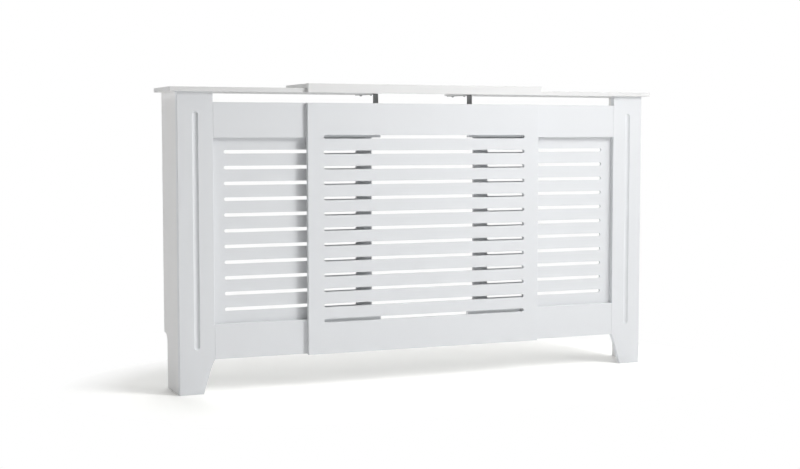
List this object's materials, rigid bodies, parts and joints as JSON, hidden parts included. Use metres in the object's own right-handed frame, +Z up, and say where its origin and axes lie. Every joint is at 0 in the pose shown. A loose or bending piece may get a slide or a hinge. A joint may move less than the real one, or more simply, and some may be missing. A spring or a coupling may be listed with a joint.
{
  "type": "radiator cover cabinet",
  "caption": "Free-standing slatted cover for a wall radiator, whose two side units slide in and out behind a raised centre panel and shelf to set the width",
  "frame": {"origin": "on the floor, under the middle of the cabinet's length and depth", "axes": "+X along the front to the viewer's right, +Y from the room towards the wall, +Z up"},
  "size_m": [1.449, 0.19, 0.82],
  "materials": {
    "white_paint": "sprayed white satin paint on MDF",
    "zinc_steel": "bright zinc-plated mild steel",
    "track_aluminium": "plain extruded aluminium",
    "softwood": "planed softwood",
    "beech": "fluted beech dowel"
  },
  "bodies": {
    "root": {"centre_panel": "white_paint", "centre_shelf": "white_paint", "centre_shelf_lip": "white_paint", "lower_adjuster_track": "track_aluminium", "upper_adjuster_track": "track_aluminium"},
    "left_unit": {"left_side_panel": "white_paint", "left_post": "white_paint", "left_top_rail": "white_paint", "left_bottom_rail": "white_paint", "left_grille": "white_paint", "left_shelf": "white_paint", "left_shelf_bracket": "zinc_steel", "left_shelf_bracket_screws": "zinc_steel", "left_grille_screws": "zinc_steel", "left_joining_blocks": "softwood", "left_joining_block_screws": "zinc_steel", "left_dowels": "beech", "left_wall_bracket": "zinc_steel", "left_wall_bracket_screws": "zinc_steel", "left_adjuster_bolts": "zinc_steel", "left_adjuster_washers": "zinc_steel", "left_adjuster_nuts": "zinc_steel"},
    "right_unit": {"right_side_panel": "white_paint", "right_post": "white_paint", "right_top_rail": "white_paint", "right_bottom_rail": "white_paint", "right_grille": "white_paint", "right_shelf": "white_paint", "right_shelf_bracket": "zinc_steel", "right_shelf_bracket_screws": "zinc_steel", "right_grille_screws": "zinc_steel", "right_joining_blocks": "softwood", "right_joining_block_screws": "zinc_steel", "right_dowels": "beech", "right_wall_bracket": "zinc_steel", "right_wall_bracket_screws": "zinc_steel", "right_adjuster_bolts": "zinc_steel", "right_adjuster_washers": "zinc_steel", "right_adjuster_nuts": "zinc_steel"}
  },
  "joints": [
    {"name": "left_slide", "type": "slide", "parent": "root", "child": "left_unit", "axis": [-1, 0, 0], "range_m": [-0.1335, 0.16]},
    {"name": "right_slide", "type": "slide", "parent": "root", "child": "right_unit", "axis": [1, 0, 0], "range_m": [-0.1335, 0.16]}
  ]
}
